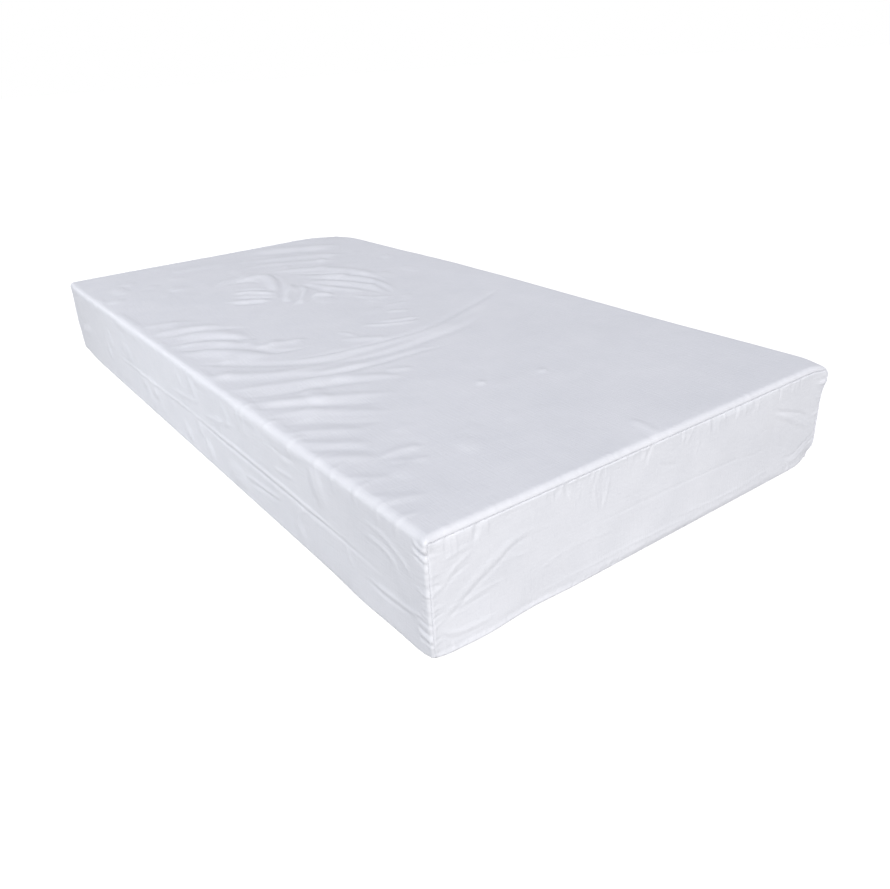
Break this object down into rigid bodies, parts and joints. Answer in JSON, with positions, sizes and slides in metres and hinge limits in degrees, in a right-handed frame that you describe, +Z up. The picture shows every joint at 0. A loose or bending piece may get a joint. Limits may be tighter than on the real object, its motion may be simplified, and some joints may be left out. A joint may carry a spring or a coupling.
{
  "type": "pressure relief mattress",
  "caption": "Pressure relief mattress for a care bed: a zipped white coated-fabric cover with sewn-in end panels over a fire sleeve and a layered, castellated foam core.",
  "frame": {"origin": "middle of the base, on the surface the mattress lies on", "axes": "+Z up, +Y along the length from the foot end to the head end, +X across the width to the long side with the zip"},
  "size_m": [1.0055, 2, 0.22],
  "materials": {
    "cover_fabric": "satin coated knit",
    "base_fabric": "satin coated fabric",
    "seam_tape": "woven tape",
    "zip_tape": "woven tape",
    "zip_coil": "satin nylon",
    "zip_metal": "satin white enamel",
    "sleeve_knit": "matt knit",
    "visco_foam": "open-cell foam",
    "zone_foam": "open-cell foam",
    "rail_foam": "open-cell foam",
    "base_foam": "open-cell foam"
  },
  "bodies": {
    "mattress": {"cover_top_wrap": "cover_fabric", "cover_foot_panel": "cover_fabric", "cover_head_panel": "cover_fabric", "cover_base_sheet": "base_fabric", "foot_seam_tape": "seam_tape", "head_seam_tape": "seam_tape", "base_seam_tapes": "seam_tape", "zip_tape_upper": "zip_tape", "zip_tape_lower": "zip_tape", "zip_coil_upper": "zip_coil", "zip_coil_lower": "zip_coil", "zip_top_stops": "zip_metal", "zip_bottom_stop": "zip_metal", "zip_end_patches": "cover_fabric", "zip_guard_strip": "cover_fabric", "fire_sleeve": "sleeve_knit", "visco_top_layer": "visco_foam", "head_zone_foam": "zone_foam", "torso_zone_foam": "zone_foam", "leg_zone_foam": "zone_foam", "heel_zone_foam": "zone_foam", "side_rail_left": "rail_foam", "side_rail_right": "rail_foam", "base_foam_slab": "base_foam"},
    "zip_slider": {"zip_slider": "zip_metal"},
    "zip_pull": {"zip_pull": "zip_metal"}
  },
  "joints": [
    {"name": "zip_slider_travel", "type": "slide", "parent": "mattress", "child": "zip_slider", "axis": [0, -1, 0], "range_m": [0, 1.897]},
    {"name": "zip_pull_swing", "type": "hinge", "parent": "zip_slider", "child": "zip_pull", "pos_m": [0.5036, 0.9485, 0.055], "axis": [0, 0, 1], "range_deg": [0, 180]}
  ]
}
